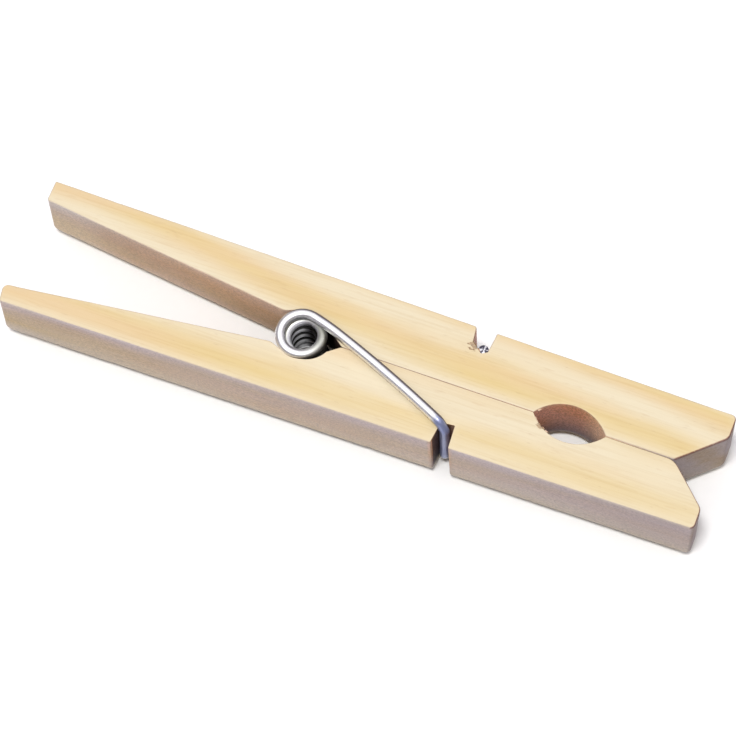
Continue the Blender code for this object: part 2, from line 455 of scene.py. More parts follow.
def lever_rings(shape, sort):
    """The lever's rings of vertices, each a copy of the outline at one height."""
    outline = lever_outline(sort)
    flat = [Vector((TAIL_X + x, sort["side"] * depth)) for x, depth, _ in outline]
    normals = inward_normals(flat)
    softness = [
        edge_softness(p, depth, cut, sort["seed"]) for p, (_, depth, cut) in zip(flat, outline)
    ]
    for _ in range(SOFTNESS_SMOOTHINGS):
        softness = [
            (softness[i - 1] + softness[i] + softness[(i + 1) % len(softness)]) / 3
            for i in range(len(softness))
        ]
    columns = [ring_levels(s) for s in softness]
    rings = []
    for level in range(len(columns[0])):
        ring = []
        for point, normal, column in zip(flat, normals, columns):
            inset, rise = column[level]
            place = point + normal * inset
            ring.append(shape.verts.new((place.x, place.y, BOTTOM_FACE + rise)))
        rings.append(ring)
    return outline, rings


def cut_flat_faces(shape, faces):
    """Cut the top and underside into small cells, with finer ones at the tail's end."""
    shape.normal_update()
    bmesh.ops.triangulate(shape, faces=faces)
    shape.normal_update()
    spans = (TAIL_X, TAIL_X + LENGTH), (-TAIL_HALF_BREADTH, TAIL_HALF_BREADTH)
    for axis, (low, high) in enumerate(spans):
        cells = round((high - low) / FLAT_FACE_CELL)
        places = [low + (high - low) * cell / cells for cell in range(1, cells)]
        if axis == 0:
            places += [low + TAIL_END_STEP * step for step in TAIL_END_CUTS]
        normal = Vector((0, 0, 0))
        normal[axis] = 1.0
        for place in places:
            flat = [face for face in shape.faces if abs(face.normal.z) > FLAT_FACE_FACING]
            edges = dict.fromkeys(edge for face in flat for edge in face.edges)
            bmesh.ops.bisect_plane(
                shape, geom=flat + list(edges), dist=MERGE_DISTANCE, plane_co=normal * place, plane_no=normal
            )


def add_splinters(shape, sort):
    """Torn fibres at the cuts' edges."""
    torn = shape.verts.layers.float.new("torn")
    for index, (x, depth, height, heading, length) in enumerate(sort["splinters"]):
        for number in range(SPLINTERS_PER_TEAR):
            key = (index, number, sort["seed"])
            root = Vector((x, depth, height))
            root += SPLINTER_SCATTER * Vector([wander(key, KEY_SPACING, k) for k in (1.0, 2.0, 3.0)])
            root.z = min(root.z, TOP_FACE - SPLINTER_BELOW_TOP)
            turn = math.radians(heading + SPLINTER_FAN * wander(key, KEY_SPACING, 4.0))
            pitch = 0.3 * wander(key, KEY_SPACING, 5.0) - 0.1
            along = Vector((math.cos(turn), math.sin(turn), pitch)).normalized()
            size = length * (0.7 + 0.5 * wander(key, KEY_SPACING, 6.0))
            add_splinter(shape, torn, root, along, size, sort["side"])


def add_splinter(shape, torn, root, along, size, side):
    """A thin curled blade that tapers to a point, four-sided and closed.

    Its root and heading are given as distance from the tail, depth and height.
    """
    across = along.cross(Vector((0, 0, 1))).normalized()
    up = across.cross(along)
    last = len(SPLINTER_SECTIONS) - 1
    rings = []
    for step, share in enumerate(SPLINTER_SECTIONS):
        middle = root + along * size * step / last + up * size * SPLINTER_CURL * step * step
        ring = []
        for a, b in ((1, 0), (0, 1), (-1, 0), (0, -1)):
            sideways = across * a * share * SPLINTER_HALF_WIDTH
            place = middle + sideways + up * b * share * SPLINTER_HALF_THICKNESS
            vert = shape.verts.new((TAIL_X + place.x, side * place.y, place.z))
            vert[torn] = SPLINTER_CUT
            ring.append(vert)
        rings.append(ring)
    join_rings(shape, rings)


def edge_nicks(side, seed):
    """Small dents along the lever's long edges, above and below by turns: centre, reach and depth."""
    nicks = []
    for index in range(NICK_COUNT):
        jitter = NICK_JITTER * wander((index, 0, 0), NICK_SPACING, seed)
        from_tail = LENGTH * ((index + 0.5 + jitter) / NICK_COUNT)
        height = TOP_FACE if index % 2 else BOTTOM_FACE
        centre = Vector((TAIL_X + from_tail, side * outer_depth(from_tail), height))
        size = 0.5 + 0.5 * abs(wander((0, index, 0), NICK_SPACING, seed))
        nicks.append((centre, NICK_REACH * size, NICK_DEPTH * size))
    return nicks


def lean_and_round(shape, sort):
    """Lean the tail's end and inner face, and round the underside up at both ends."""
    height = TOP_FACE - BOTTOM_FACE
    for vert in shape.verts:
        from_tail = vert.co.x - TAIL_X
        lift = lower_round(from_tail, slant_reach(sort, abs(vert.co.y)))
        low = (TOP_FACE - vert.co.z) / height
        vert.co.z = TOP_FACE - low * (height - lift)
        near_end = max(0.0, 1 - from_tail / TAIL_LEAN_REACH) ** 2
        vert.co.x += TAIL_LEAN * (TAIL_LEAN_LEVEL - low) * near_end
        innermost = abs(vert.co.y) < inner_depth(from_tail) + INNER_LEAN_MARGIN
        if innermost and from_tail < SHOULDER_FROM_TAIL:
            vert.co.y += sort["side"] * sort["inner_lean"] * low


def wave_and_nick(shape, sort):
    """Give the surfaces slight waves, except where the levers meet, and the long edges nicks."""
    seed = sort["seed"]
    nicks = edge_nicks(sort["side"], seed)
    for vert in shape.verts:
        wave = sum(height * wander(vert.co, width, seed) for height, width in WAVES)
        dent = sum(
            depth * max(0.0, 1 - (vert.co - centre).length / reach) ** 2
            for centre, reach, depth in nicks
        )
        in_contact = abs(vert.co.y) < 3 * HALF_CONTACT_GAP
        vert.co += vert.normal * ((0.0 if in_contact else wave) - dent)


def paint_lever(mesh, outline, side):
    """Store how near each vertex is to an edge, and how much of it is a cut surface, where a mark past a
    plain cut paints black shade.
    """
    flat = [(Vector((TAIL_X + x, side * depth)), cut) for x, depth, cut in outline]
    edge = mesh.attributes.new("edge", "FLOAT", "POINT")
    cut_mark = mesh.attributes.new("cut", "FLOAT", "POINT")
    torn = mesh.attributes["torn"].data
    for index, vert in enumerate(mesh.vertices):
        place = vert.co.xy
        nearest, cut = min(((place - p).length, c) for p, c in flat)
        to_side = min(vert.co.z - BOTTOM_FACE, TOP_FACE - vert.co.z)
        away = nearest if to_side < FLAT_FACE_MARGIN else to_side
        edge.data[index].value = math.exp(-away / EDGE_MARK_REACH)
        on_wall = nearest < WALL_MARGIN and to_side > WALL_MARGIN
        cut_mark.data[index].value = max(cut if on_wall else 0.0, torn[index].value)


def make_lever(node, sort, material):
    """One lever: a soft-edged wooden strip with its groove, half hole, notch and chamfered nose."""
    shape = bmesh.new()
    outline, rings = lever_rings(shape, sort)
    cut_flat_faces(shape, join_rings(shape, rings))
    bmesh.ops.recalc_face_normals(shape, faces=shape.faces)
    lean_and_round(shape, sort)
    shape.normal_update()
    wave_and_nick(shape, sort)
    add_splinters(shape, sort)
    bmesh.ops.recalc_face_normals(shape, faces=shape.faces)
    mesh = finished_mesh(node + "_strip", shape, material)
    mesh.shade_smooth()
    mesh.set_sharp_from_angle(angle=LEVER_SHARP_ANGLE)
    paint_lever(mesh, outline, sort["side"])
    lever = add_object(node + "_strip", mesh)
    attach(lever, node)
    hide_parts(node)


# ---------------- spring

def coil_points():
    """The helix, from the bottom arm up to the top arm, turning clockwise seen from above.

    Its end turns, pulled open by the arms, bulge out and are looser than the ones between.
    """
    sweep = math.tau * (COIL_WHOLE_TURNS + 1) - 2 * ARM_DEPARTURE
    steps = round(COIL_STEPS_PER_TURN * sweep / math.tau)
    height = arm_height()
    points = []
    for step in range(steps + 1):
        turned = sweep * step / steps
        angle = -ARM_DEPARTURE - turned
        from_end = min(turned, sweep - turned) / math.tau
        bulge = math.sin(math.pi * min(1.0, from_end / COIL_BULGE_TURNS)) ** 2
        tight = min(1.0, max(0.0, (from_end - COIL_BULGE_TURNS) / COIL_TIGHTENS_OVER))
        tight = tight * tight * (3 - 2 * tight)
        radius = COIL_RADIUS + COIL_BULGE * bulge + (COIL_INNER_RADIUS - COIL_RADIUS) * tight
        rise = height * (2 * step / steps - 1)
        points.append(Vector((radius * math.cos(angle), radius * math.sin(angle), rise)))
    return points


def arm_height():
    """Height of the top arm's middle above the middle of the object."""
    return TOP_FACE - HINGE.z + ARM_GAP + WIRE_RADIUS


def heading_arc(start, radius, first, last, steps):
    """A clockwise arc in plan from a place, between two headings; the start is left out."""
    points = []
    for step in range(1, steps + 1):
        heading = first + (last - first) * step / steps
        x = start[0] - radius * (math.sin(heading) - math.sin(first))
        y = start[1] + radius * (math.cos(heading) - math.cos(first))
        points.append((x, y))
    return points


def bend(before, corner, after, radius):
    """A corner between two straight pieces of wire, replaced by an arc."""
    inward, outward = (before - corner).normalized(), (after - corner).normalized()
    half = inward.angle(outward) / 2
    reach = radius / math.tan(half)
    centre = corner + (inward + outward).normalized() * radius / math.sin(half)
    first, last = corner + inward * reach - centre, corner + outward * reach - centre
    directions = [first.slerp(last, step / BEND_STEPS) for step in range(BEND_STEPS + 1)]
    return [centre + way.normalized() * radius for way in directions]


def arm_points(reach_from_tail, turns):
    """A top arm from the coil to the end of its bar, about the hinge.

    The arm leaves the coil on an easy curve, runs on in a long shallow bow, and ends in the turns:
    the corners where the wire bends down over the lever's face and along its notch.
    """
    height = arm_height()
    start = (COIL_RADIUS * math.cos(ARM_DEPARTURE), COIL_RADIUS * math.sin(ARM_DEPARTURE))
    first = ARM_DEPARTURE - math.pi / 2
    plan = [start] + heading_arc(start, ARM_EASE_RADIUS, first, ARM_EASE_HEADING, ARM_EASE_STEPS)
    rest = reach_from_tail - COIL_FROM_TAIL - plan[-1][0]
    last = math.asin(math.sin(ARM_EASE_HEADING) - rest / ARM_BOW_RADIUS)
    plan += heading_arc(plan[-1], ARM_BOW_RADIUS, ARM_EASE_HEADING, last, ARM_BOW_STEPS)
    points = [Vector((x, y, height)) for x, y in plan]
    corners = [points.pop()] + [
        Vector((x - COIL_FROM_TAIL, -depth, z - HINGE.z)) for x, depth, z in turns
    ]
    while (points[-1] - corners[0]).length < BEND_RADIUS * BEND_ROOM:
        points.pop()
    before = points[-1]
    for corner, after in zip(corners, corners[1:]):
        points += bend(before, corner, after, BEND_RADIUS)
        before = corner
    bar_top = points[-1]
    bar = corners[-1] - bar_top
    return points + [bar_top + bar * step / BAR_STEPS for step in range(1, BAR_STEPS + 1)]


def turned_over(points):
    """The same points, turned half a turn about the object's long axis."""
    return [Vector((p.x, -p.y, -p.z)) for p in points]


def carried_frames(points):
    """A side direction at each point of the wire, carried along without twisting."""
    tangents = []
    for i in range(len(points)):
        ahead = points[min(i + 1, len(points) - 1)]
        behind = points[max(i - 1, 0)]
        tangents.append((ahead - behind).normalized())
    side = tangents[0].orthogonal().normalized()
    frames = []
    for i, tangent in enumerate(tangents):
        if i:
            side = tangents[i - 1].rotation_difference(tangent) @ side
        side = (side - tangent * side.dot(tangent)).normalized()
        frames.append((tangent, side, tangent.cross(side)))
    return frames


def wire_ring(shape, layer, centre, frame_here, share, along):
    """One ring of the wire's surface; each vertex keeps its place along and around the wire."""
    _, side, up = frame_here
    ring = []
    for step in range(WIRE_SIDES):
        angle = math.tau * step / WIRE_SIDES
        offset = side * math.cos(angle) + up * math.sin(angle)
        vert = shape.verts.new(HINGE + centre + offset * WIRE_RADIUS * share)
        vert[layer] = (along, math.cos(angle) * WIRE_RADIUS, math.sin(angle) * WIRE_RADIUS)
        ring.append(vert)
    return ring


def worn_end(point, frame_here, along, way):
    """The sections past one end of the wire, where its sheared edge is worn round."""
    tangent = frame_here[0]
    return [(point + tangent * way * reach, frame_here, share, along) for reach, share in WORN_END]


def wire_mesh(name, points, frames, lengths, ends, material):
    """A round tube along the points, with a worn cut end where the wire itself ends."""
    sections = [(p, here, 1.0, along) for p, here, along in zip(points, frames, lengths)]
    if ends[0]:
        sections = worn_end(points[0], frames[0], lengths[0], -1)[::-1] + sections
    if ends[1]:
        sections += worn_end(points[-1], frames[-1], lengths[-1], 1)
    shape = bmesh.new()
    layer = shape.verts.layers.float_vector.new("wire_place")
    join_rings(shape, [wire_ring(shape, layer, *section) for section in sections])
    bmesh.ops.recalc_face_normals(shape, faces=shape.faces)
    mesh = finished_mesh(name, shape, material)
    mesh.shade_smooth()
    mesh.set_sharp_from_angle(angle=WIRE_SHARP_ANGLE)
    return mesh


def carry_wire(wire, node, body):
    """Let an arm ride on its lever, and bake the coil's place into its mesh."""
    if body:
        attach(wire, body)
    else:
        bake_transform(wire)
    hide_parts(node)


def make_spring():
    """The spring: one wire, parted where each arm leaves the coil so that it can work."""
    front_arm = arm_points(*FRONT_ARM)
    rear_arm = list(reversed(turned_over(arm_points(*REAR_ARM))))
    coil = coil_points()
    points = rear_arm[:-1] + coil + front_arm[1:]
    frames = carried_frames(points)
    lengths = [0.0]
    for before, here in zip(points, points[1:]):
        lengths.append(lengths[-1] + (here - before).length)
    coil_start = len(rear_arm) - 1
    coil_end = coil_start + len(coil) - 1
    material = wire_material("zinc_wire", lengths[-1], lengths[coil_end] - lengths[coil_start])
    spans = (
        ("spring_rear_arm_wire", "spring_rear_arm", 0, coil_start, "rear_lever"),
        ("spring_coil_wire", "spring_coil", coil_start, coil_end, None),
        ("spring_front_arm_wire", "spring_front_arm", coil_end, len(points) - 1, "front_lever"),
    )
    for name, node, first, last, body in spans:
        part = slice(first, last + 1)
        ends = (first == 0, last == len(points) - 1)
        mesh = wire_mesh(name, points[part], frames[part], lengths[part], ends, material)
        carry_wire(add_object(name, mesh), node, body)


# ---------------- materials

class Nodes:
    """A short way to write a material's nodes."""

    def __init__(self, name):
        self.material = bpy.data.materials.new(name)
        self.material.use_nodes = True
        self.tree = self.material.node_tree
        self.shader = self.tree.nodes["Principled BSDF"]

    def add(self, kind, inputs=(), **settings):
        """A node with its settings, and its inputs by name or number: values or other sockets."""
        made = self.tree.nodes.new("ShaderNode" + kind)
        for key, value in settings.items():
            setattr(made, key, value)
        for key, value in dict(inputs).items():
            if isinstance(value, bpy.types.NodeSocket):
                self.tree.links.new(value, made.inputs[key])
            else:
                made.inputs[key].default_value = value
        return made

    def maths(self, operation, first, second=0.0, third=0.0, clamp=False):
        """A Math node's output."""
        values = {0: first, 1: second, 2: third}
        return self.add("Math", values, operation=operation, use_clamp=clamp).outputs[0]

    def product(self, first, *others):
        """Several values multiplied together."""
        for other in others:
            first = self.maths("MULTIPLY", first, other)
        return first

    def split(self, vector):
        """A vector's X, Y and Z sockets."""
        return self.add("SeparateXYZ", {0: vector}).outputs

    def stretch(self, place, scale, location=(0, 0, 0)):
        """The place, scaled and moved."""
        values = {"Vector": place, "Location": location, "Scale": scale}
        return self.add("Mapping", values).outputs["Vector"]

    def noise(self, place, fineness, detail=3.0, rough=0.55, location=(0, 0, 0)):
        """A noise texture's grey output, with so many features a metre along each axis."""
        spot = self.stretch(place, fineness, location)
        values = {"Vector": spot, "Scale": 1.0, "Detail": detail, "Roughness": rough}
        return self.add("TexNoise", values).outputs["Fac"]

    def ranged(self, value, low, high, to_low=0.0, to_high=1.0):
        """The value, mapped smoothly from one range to another."""
        values = {"Value": value, "From Min": low, "From Max": high, "To Min": to_low,
                  "To Max": to_high}
        made = self.add("MapRange", values, interpolation_type="SMOOTHSTEP")
        return made.outputs["Result"]

    def mix(self, share, first, second, blend="MIX"):
        """Two colours mixed."""
        values = {0: share, 6: first, 7: second}
        return self.add("Mix", values, data_type="RGBA", blend_type=blend).outputs[2]

    def times(self, first, second):
        """Two colours multiplied."""
        return self.mix(1.0, first, second, "MULTIPLY")

    def tinted(self, share, colour, tint):
        """The colour, multiplied by the tint where the share is 1."""
        return self.mix(share, colour, self.times(colour, tint))

    def into(self, name, socket):
        """Link a socket into the shader."""
        self.tree.links.new(socket, self.shader.inputs[name])

    def bump(self, height, strength, distance):
        """Link a relief of the given height into the shader's normal."""
        made = self.add("Bump", {"Strength": strength, "Distance": distance, "Height": height})
        self.into("Normal", made.outputs["Normal"])


# Of each lever's wood: how far apart its tan bands are, where the first one lies, how the bands drift
# and sweep across, in millimetres, and how strong they are at the tail and at the jaws. The tear is
# where a cut left brown torn fibres: distance from the tail, depth and reach.
FRONT_WOOD = {
    "seed": 0.13,
    "period": 6.5,
    "peak": 6.3,
    "drift": 0.012,
    "sweep": 0.0,
    "strength": (1.0, 0.5),
    "tear": (0.0627, 0.0013, 0.0007),
}
REAR_WOOD = {
    "seed": 0.71,
    "period": 5.0,
    "peak": 8.0,
    "drift": 0.07,
    "sweep": 1.5,
    "strength": (1.0, 1.0),
    "tear": (0.0526, 0.0054, 0.0011),
}

# Where the wood's looks change, as a distance from the tail or a depth in millimetres. Each pair is
# where a change starts and where it is complete.
SWEEP_ALONG = (15.0, 45.0)
STRENGTH_ALONG = (5.0, 80.0)
INNER_RISE_GROWS = (-4.0, 28.0)
SHOULDER_SHADE_ALONG = (20.0, 31.0)
TAIL_END_GREYS = (11.0, 3.0)
INNER_FACE_STOPS = (34.0, 38.0)
OUTER_FACE_DEPTH = (5.9, 6.5)
JAWS_DARKEN = (45.0, 82.0)
HOLE_END_PALES = (65.8, 69.0)
NOSE_RIM_DARKENS = (74.0, 76.0)
NOTCH_BURNS_DEPTH = (3.8, 4.6)

# The same for heights, in metres. The tilt is how much higher a sawn place counts for each millimetre
# from the tail, and the slant is how far the bands shift for each step up.
SAWN_RISE = (0.003, 0.0115)
SAWN_RISE_TILT = 0.00004
CUT_LOW_RISE = (BOTTOM_FACE - 0.0004, BOTTOM_FACE + 0.0042)
CUT_HIGH_RISE = (BOTTOM_FACE + 0.0035, TOP_FACE)
UPPER_EDGE_RISE = (TOP_FACE - 0.0007, TOP_FACE - 0.0002)
BAND_SLANT = 0.45

# The wood's own colours.
WHITE = (1, 1, 1, 1)
PALE_WOOD = (0.628, 0.552, 0.398, 1)
YELLOW_TAN = (0.585, 0.455, 0.222, 1)
PINK_TAN = (0.598, 0.452, 0.262, 1)
PORE = (0.34, 0.235, 0.135, 1)
FLECK = (0.44, 0.29, 0.155, 1)
RUBBED = (0.64, 0.56, 0.42, 1)
TORN_DARK = (0.10, 0.045, 0.02, 1)
TORN_PALE = (0.30, 0.17, 0.08, 1)

# Tints, each multiplied into the wood's colour.
DARK_FIBRE = (0.93, 0.90, 0.86, 1)
SPECKLE_DARK = (0.80, 0.79, 0.81, 1)
SPECKLE_PALE = (1.17, 1.15, 1.12, 1)
# Painted shade on the outer side faces: darker and bluer, more so towards their top.
SAWN_SHADE_LOW = (0.90, 0.89, 1.04, 1)
SAWN_SHADE_HIGH = (0.82, 0.82, 1.28, 1)
# Painted light and shade on a tail's inner face: a lighter upper part, and darker by the coil's shoulder.
INNER_LOW = (0.93, 0.90, 1.10, 1)
INNER_LIT_HIGH = (1.42, 1.22, 1.34, 1)
INNER_END = (1.10, 1.19, 1.32, 1)
SHOULDER_SHADE = (0.80, 0.73, 0.84, 1)
# The ends darker and bluer: partly end grain, partly painted shade.
END_GRAIN_AND_SHADE = (0.50, 0.46, 0.66, 1)
# Painted light and shade in the cuts: lighter and redder near the top, dark and blue towards the underside.
CUT_HIGH = (1.34, 0.89, 0.96, 1)
CUT_MIDDLE = (1.05, 0.69, 0.72, 1)
CUT_LOW = (0.28, 0.25, 0.50, 1)
HOLE_END = (1.22, 1.58, 1.50, 1)
# Painted shade: black in the groove and the notches' deep corners.
PAINTED_SHADE_BLACK = (0.05, 0.04, 0.05, 1)
SHADED_RIM = (0.74, 0.70, 0.60, 1)
# A dark red line along the nose's upper rim.
NOSE_RIM = (0.42, 0.25, 0.26, 1)
BURNT = (0.50, 0.33, 0.16, 1)


class Wood(Nodes):
    """A lever's wood: the places, marks and noises that its layers share, and the layers."""

    def __init__(self, name, look):
        super().__init__(name)
        self.look = look
        coords = self.add("TexCoord").outputs
        self.at = self.split(coords["Object"])
        self.facing = self.split(coords["Normal"])
        self.from_tail = self.maths("MULTIPLY_ADD", self.at["X"], MM, -MM * TAIL_X)
        self.from_middle = self.maths("ABSOLUTE", self.at["Y"])
        self.depth = self.product(self.from_middle, MM)
        self.place = self.stretch(coords["Object"], (1, 1, 1), (look["seed"],) * 3)
        self.cloud = self.noise(self.place, (60, 420, 420))
        self.fibres = self.noise(self.place, (110, 4200, 4200), 4.0, 0.6)
        self.pores = self.ranged(self.noise(self.place, (700, 7000, 7000), 2.0, 0.5), 0.66, 0.78)
        self.fuzz = self.noise(self.place, (3600, 4600, 4600), 3.0, 0.75)
        self.edge = self.add("Attribute", attribute_name="edge").outputs["Fac"]
        mark = self.add("Attribute", attribute_name="cut").outputs["Fac"]
        self.cut = self.maths("MULTIPLY", mark, 1.0, clamp=True)
        self.uncut = self.maths("SUBTRACT", 1.0, mark, clamp=True)
        # Painted black shade, where the cut mark passes a plain cut.
        self.painted_black_shade = self.maths("SUBTRACT", mark, 1.0, clamp=True)
        self.end_grain = self.product(self.uncut, self.faces("X", 0.35, 0.95))

    def faces(self, axis, low, high):
        """How squarely the surface faces along an axis, either way."""
        return self.ranged(self.maths("ABSOLUTE", self.facing[axis]), low, high)

    def banded(self):
        """Pale wood with broad tan growth bands.

        The bands follow the distance from the contact face. Drift and sweep carry them across the
        lever on the way to the jaws: drift evenly, sweep in one S along the tail's half.
        """
        drifting = self.product(self.from_tail, self.look["drift"])
        swept = self.ranged(self.from_tail, *SWEEP_ALONG, 0.0, self.look["sweep"])
        wobble = self.ranged(self.noise(self.place, (22, 110, 150), 2.0), 0.2, 0.8, -0.9, 0.9)
        slant = self.maths("MULTIPLY_ADD", self.at["Z"], BAND_SLANT * MM, -BAND_SLANT * MM * TOP_FACE)
        where = self.depth
        for shift in (drifting, swept, wobble, slant):
            where = self.maths("ADD", where, shift)
        turn = math.tau / self.look["period"]
        wave = self.maths("COSINE", self.maths("MULTIPLY_ADD", where, turn, -turn * self.look["peak"]))
        tan = self.maths("MULTIPLY_ADD", wave, 0.5, 0.5)
        tan = self.product(tan, self.ranged(self.from_tail, *STRENGTH_ALONG, *self.look["strength"]))
        tan = self.maths("ADD", tan, self.ranged(self.cloud, 0.3, 0.7, -0.12, 0.16), clamp=True)
        hue = self.noise(self.place, (28, 190, 190), 2.0, location=(0.4, 0.1, 0.7))
        return self.mix(tan, PALE_WOOD, self.mix(self.ranged(hue, 0.35, 0.65), YELLOW_TAN, PINK_TAN))

    def grained(self, colour):
        """Fine darker fibres, pores and flecks."""
        colour = self.tinted(self.ranged(self.fibres, 0.40, 0.78), colour, DARK_FIBRE)
        colour = self.mix(self.product(self.pores, 0.28), colour, PORE)
        flecks = self.noise(self.place, (420, 2100, 2100), 2.0, 0.5)
        return self.mix(self.product(self.ranged(flecks, 0.62, 0.74), 0.16), colour, FLECK)

    def inner_light_and_shade(self, rise):
        """Painted light and shade on a tail's inner face: lighter towards its top, darker by the coil's
        shoulder, greyer at the tail's end.
        """
        low = self.mix(self.ranged(self.from_tail, *SHOULDER_SHADE_ALONG), INNER_LOW, SHOULDER_SHADE)
        rise = self.product(rise, self.ranged(self.from_tail, *INNER_RISE_GROWS))
        tail_end = self.mix(self.ranged(self.from_tail, *TAIL_END_GREYS), WHITE, INNER_END)
        return self.times(self.mix(rise, low, INNER_LIT_HIGH), tail_end)

    def sawn_and_shaded(self, colour):
        """The speckled side faces and ends, duller than the planed top and underside, with painted light and
        shade on the side faces and painted shade on the ends.
        """
        height = self.maths("MULTIPLY_ADD", self.from_tail, SAWN_RISE_TILT, self.at["Z"])
        rise = self.ranged(height, *SAWN_RISE)
        past_coil = self.ranged(self.from_tail, *INNER_FACE_STOPS)
        outer = self.maths("MAXIMUM", self.ranged(self.depth, *OUTER_FACE_DEPTH), past_coil)
        tint = self.mix(outer, self.inner_light_and_shade(rise), self.mix(rise, SAWN_SHADE_LOW, SAWN_SHADE_HIGH))
        speckle = self.mix(self.ranged(self.fuzz, 0.32, 0.68), SPECKLE_DARK, SPECKLE_PALE)
        # Painted shade: the side faces and ends darker towards the jaws.
        speckle = self.times(speckle, self.ranged(self.from_tail, *JAWS_DARKEN, 1.0, 0.86))
        sides = self.product(self.uncut, self.faces("Y", 0.5, 0.95))
        colour = self.tinted(sides, colour, self.times(tint, speckle))
        # Ends darker: partly end grain, partly painted shade.
        return self.tinted(self.end_grain, colour, self.times(END_GRAIN_AND_SHADE, speckle))

    def scorched_and_shaded(self, colour):
        """The cuts: brown, with painted shade darker towards the underside, paler at the hole's end, and
        painted black with shade in the groove and the notches.
        """
        # Painted shade in the cuts, darker towards the underside.
        low = self.mix(self.ranged(self.at["Z"], *CUT_LOW_RISE), CUT_LOW, CUT_MIDDLE)
        tint = self.mix(self.ranged(self.at["Z"], *CUT_HIGH_RISE), low, CUT_HIGH)
        hole_end = self.mix(self.ranged(self.from_tail, *HOLE_END_PALES), WHITE, HOLE_END)
        tint = self.times(tint, hole_end)
        rough = self.ranged(self.noise(self.place, (4200,) * 3, 3.0, 0.7), 0.3, 0.7, 0.62, 1.22)
        colour = self.tinted(self.cut, colour, self.times(tint, rough))
        # Painted black shade in the groove and the notches.
        return self.tinted(self.painted_black_shade, colour, PAINTED_SHADE_BLACK)

    def torn(self, colour):
        """Brown torn fibres round one place, seen in plan."""
        from_tail, depth, reach = self.look["tear"]
        level = self.add("CombineXYZ", {0: self.at["X"], 1: self.from_middle, 2: TOP_FACE}).outputs[0]
        ends = {0: level, 1: (TAIL_X + from_tail, depth, TOP_FACE)}
        away = self.add("VectorMath", ends, operation="DISTANCE").outputs["Value"]
        near = self.ranged(away, reach, 0.2 * reach)
        shreds = self.noise(self.place, (1500, 4500, 900), 3.0, 0.7)
        ragged = self.ranged(self.maths("MULTIPLY_ADD", near, 0.35, shreds), 0.62, 0.74)
        brown = self.mix(self.ranged(self.fuzz, 0.35, 0.6), TORN_DARK, TORN_PALE)
        return self.mix(self.product(ragged, self.ranged(near, 0.0, 0.2), 0.9), colour, brown)

    def worn_and_rim_shaded(self, colour):
        """Edges rubbed pale, except at the ends, and rims on the rear side of each lever shaded."""
        rubbed = self.ranged(self.cloud, 0.3, 0.6, 0.10, 0.35)
        not_end = self.maths("SUBTRACT", 1.0, self.end_grain, clamp=True)
        rubbed = self.product(self.ranged(self.edge, 0.25, 1.0), rubbed, not_end)
        colour = self.mix(rubbed, colour, RUBBED)
        rear_side = self.ranged(self.facing["Y"], 0.25, 0.75)
        return self.tinted(self.product(rear_side, self.ranged(self.edge, 0.5, 0.95)), colour, SHADED_RIM)

    def dark_upper_edges(self, colour):
        """A dark red line along the nose's upper rim, and burnt upper edges on the notch's cuts."""
        at_top = self.ranged(self.at["Z"], *UPPER_EDGE_RISE)
        at_top = self.product(at_top, self.ranged(self.fuzz, 0.3, 0.55, 0.55, 1.0))
        at_nose = self.product(
            self.ranged(self.from_tail, *NOSE_RIM_DARKENS), self.ranged(self.facing["X"], 0.10, 0.45)
        )
        colour = self.tinted(self.product(at_top, at_nose), colour, NOSE_RIM)
        in_notch = self.product(self.ranged(self.depth, *NOTCH_BURNS_DEPTH), self.cut)
        return self.tinted(self.product(at_top, in_notch), colour, BURNT)


def wood_material(name, look):
    """Bare pale hardwood: growth bands, grain, sawn faces, scorched cuts, worn edges, burnt notch edges and
    a dark nose rim, with painted light and shade on the sides, the ends, the cuts and the rims.
    """
    wood = Wood(name, look)
    colour = wood.banded()
    for layer in (wood.grained, wood.sawn_and_shaded, wood.scorched_and_shaded, wood.torn, wood.worn_and_rim_shaded, wood.dark_upper_edges):
        colour = layer(colour)
    wood.into("Base Color", colour)
    wood.into("Roughness", wood.ranged(wood.fibres, 0.2, 0.8, 0.52, 0.70))
    wood.shader.inputs["Specular IOR Level"].default_value = 0.30
    wood.bump(wood.maths("SUBTRACT", wood.fibres, wood.product(wood.pores, 0.8)), 0.3, 0.00005)
    return wood.material


# Where the wire's looks change, in metres: from the wire's own ends, from the coil's ends along the
# wire, from the coil's axis, from its middle plane, and from the axis towards the jaws.
BAR_SHADE_FROM_END = (0.0096, 0.0086)
SHEARED_FROM_END = (0.0003, 0.0001)
INNER_TURNS_FROM_COIL_END = (0.0070, 0.0115)
DEEP_TURNS_FROM_COIL_END = (0.0200, 0.0235)
BORE_FROM_AXIS = (0.0022, 0.0016)
DULL_AND_SHADE_FROM_AXIS = (0.0016, 0.0020)
SEAM_FROM_AXIS = (0.0023, 0.0020)
FLANK_FROM_AXIS = (0.0018, 0.0022)
BORE_FROM_MIDDLE = (0.0046, 0.0020)
DARK_BORE_TO_JAWS = (-0.0010, 0.0004)

BRIGHT_ZINC = (0.92, 0.92, 0.93, 1)
GREY_ZINC = (0.80, 0.80, 0.85, 1)
# Painted shade and dark blue reflection on the bars.
BAR_SHADE_DARK = (0.20, 0.23, 0.40, 1)
BAR_SHADE_PALE = (0.36, 0.39, 0.56, 1)
# Painted dark and bright reflections on the sheared ends.
TIP_PAINTED_DARK = (0.05, 0.045, 0.07, 1)
TIP_PAINTED_GLINT = (0.60, 0.60, 0.64, 1)
# Painted shade in the coil's bore.
BORE_SHADE = (0.14, 0.13, 0.15, 1)
# Painted shade on the inner turns, inside the coil; they are also made rougher.
INNER_TURN_SHADE = (0.62, 0.63, 0.54, 1)
# Painted shade: black between the deep turns.
SEAM_SHADE = (0.012, 0.012, 0.010, 1)
# Painted shade and dark reflection on the wire's rear flank.
FLANK_SHADE = (0.085, 0.072, 0.085, 1)


